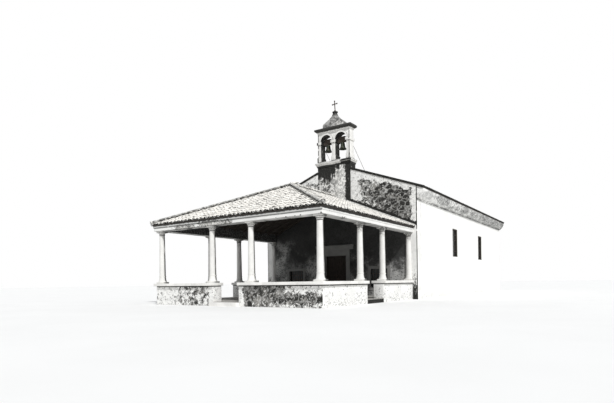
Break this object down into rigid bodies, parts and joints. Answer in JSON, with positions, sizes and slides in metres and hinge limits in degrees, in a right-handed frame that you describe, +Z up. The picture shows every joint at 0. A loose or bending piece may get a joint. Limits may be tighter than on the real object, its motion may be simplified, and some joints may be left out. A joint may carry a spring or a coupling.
{
  "type": "small chapel",
  "caption": "Rural stone chapel with a columned hipped porch, a low gable nave and an open bell cote with swinging bells and clappers and a double door.",
  "frame": {"origin": "on the ground under the middle of the building's plan", "axes": "+X to the right along the front, +Y into the building, +Z up"},
  "size_m": [8.88, 23.47, 9.49],
  "materials": {
    "limewash": "matt limewashed plaster",
    "rubble": "lichened rubble with worn plaster",
    "dressed_stone": "weathered limestone",
    "floor_stone": "worn flagstone",
    "plaster": "matt lime plaster",
    "roof_tile": "unglazed weathered clay",
    "timber": "aged oak",
    "door_wood": "dark oiled planks",
    "iron": "rusted wrought iron",
    "bronze": "dark patinated bronze",
    "window_glass": "dark old glass"
  },
  "bodies": {
    "chapel": {"belfry_arches": "dressed_stone", "belfry_cap": "dressed_stone", "belfry_cross": "iron", "belfry_lower_cornice": "dressed_stone", "belfry_pier": "dressed_stone", "belfry_posts": "dressed_stone", "belfry_stays": "iron", "belfry_upper_cornice": "dressed_stone", "column_bases": "dressed_stone", "column_capitals": "dressed_stone", "column_shafts": "dressed_stone", "door_jambs": "dressed_stone", "door_lintel": "dressed_stone", "door_pintles": "iron", "eaves_cornices": "limewash", "front_beam": "plaster", "front_gable": "rubble", "front_parapet": "rubble", "front_step": "dressed_stone", "front_wall_left": "rubble", "front_wall_over_door": "rubble", "front_wall_right": "rubble", "left_wall": "limewash", "low_window_frames": "dressed_stone", "nave_floor": "floor_stone", "nave_roof_left": "roof_tile", "nave_roof_right": "roof_tile", "parapet_coping": "dressed_stone", "porch_floor": "floor_stone", "porch_rafters": "timber", "porch_ridge_beam": "timber", "porch_roof_front": "roof_tile", "porch_roof_left": "roof_tile", "porch_roof_right": "roof_tile", "rear_wall": "limewash", "right_wall": "limewash", "roof_ridges": "roof_tile", "side_beams": "plaster", "side_parapets": "limewash", "window_glass": "window_glass"},
    "door_left": {"door_leaf_left": "door_wood"},
    "door_right": {"door_leaf_right": "door_wood"},
    "left_bell": {"bell_left": "bronze", "headstock_left": "timber"},
    "right_bell": {"bell_right": "bronze", "headstock_right": "timber"},
    "left_clapper": {"clapper_left": "iron"},
    "right_clapper": {"clapper_right": "iron"}
  },
  "joints": [
    {"name": "left_leaf_swing", "type": "hinge", "parent": "chapel", "child": "door_left", "pos_m": [-0.69, -4.02, 0.45], "axis": [0, 0, 1], "range_deg": [0, 90]},
    {"name": "right_leaf_swing", "type": "hinge", "parent": "chapel", "child": "door_right", "pos_m": [0.69, -4.02, 0.45], "axis": [0, 0, -1], "range_deg": [0, 90]},
    {"name": "left_bell_swing", "type": "hinge", "parent": "chapel", "child": "left_bell", "pos_m": [-0.4, -4.105, 7.5], "axis": [1, 0, 0], "range_deg": [-40, 40]},
    {"name": "left_clapper_swing", "type": "hinge", "parent": "left_bell", "child": "left_clapper", "pos_m": [-0.4, -4.105, 7.36], "axis": [1, 0, 0], "range_deg": [-18, 18]},
    {"name": "right_bell_swing", "type": "hinge", "parent": "chapel", "child": "right_bell", "pos_m": [0.4, -4.105, 7.5], "axis": [1, 0, 0], "range_deg": [-40, 40]},
    {"name": "right_clapper_swing", "type": "hinge", "parent": "right_bell", "child": "right_clapper", "pos_m": [0.4, -4.105, 7.36], "axis": [1, 0, 0], "range_deg": [-18, 18]}
  ]
}
